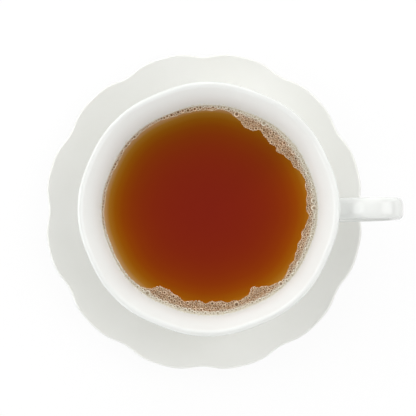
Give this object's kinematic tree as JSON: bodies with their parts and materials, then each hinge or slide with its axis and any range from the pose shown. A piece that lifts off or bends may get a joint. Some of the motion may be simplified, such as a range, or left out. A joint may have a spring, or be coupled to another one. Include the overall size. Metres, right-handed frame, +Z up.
{
  "type": "cup of tea",
  "caption": "Fluted white porcelain cup of black tea with froth along its edge, on a matching saucer with a scalloped rim.",
  "frame": {"origin": "Under the middle of the whole model's bounding box, on the surface that the saucer's foot ring stands on.", "axes": "+X from the cup's axis towards its handle, +Y across the cup, +Z up out of the cup's mouth."},
  "size_m": [0.1568, 0.1426, 0.062],
  "materials": {
    "porcelain": "glossy clear glaze on white porcelain",
    "tea": "clear red-brown liquid with a mirror-smooth surface",
    "froth": "tiny wet bubbles, pale beige"
  },
  "bodies": {
    "root": {"saucer": "porcelain", "cup": "porcelain", "tea": "tea", "froth": "froth"}
  },
  "joints": []
}
